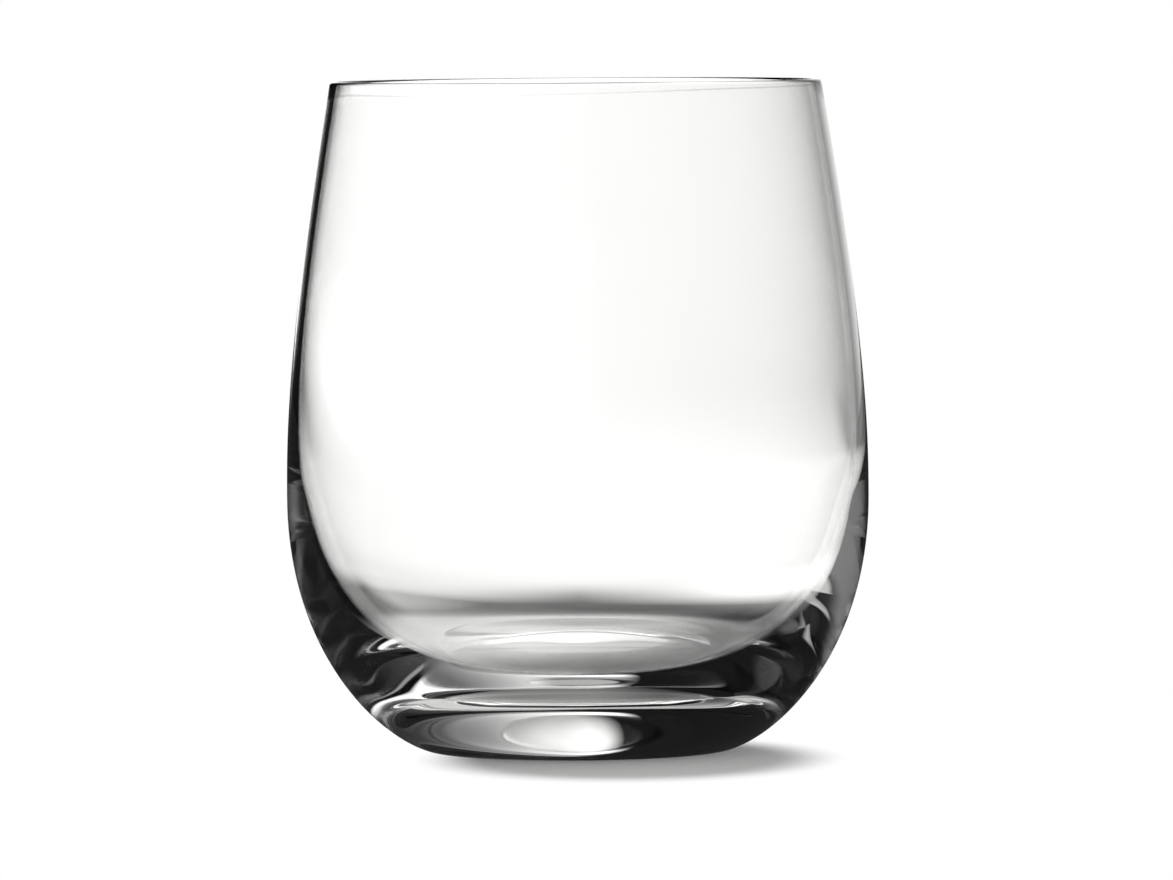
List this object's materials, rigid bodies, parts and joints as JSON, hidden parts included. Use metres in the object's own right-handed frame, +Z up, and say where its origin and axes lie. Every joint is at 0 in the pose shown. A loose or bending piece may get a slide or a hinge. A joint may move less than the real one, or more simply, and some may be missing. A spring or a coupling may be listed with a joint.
{
  "type": "rocks glass",
  "caption": "Clear stemless rocks glass with a full rounded belly, a thin wall that leans in to a rounded lip, and a heavy dished base.",
  "frame": {"origin": "middle of the ring that the glass stands on, in the plane of the table", "axes": "+Z up along the axis of the glass; X and Y are any two level directions, because the glass is round"},
  "size_m": [0.0824, 0.0824, 0.095],
  "materials": {
    "clear_glass": "clear, smooth and fire-polished"
  },
  "bodies": {
    "root": {"glass_tumbler": "clear_glass"}
  },
  "joints": []
}
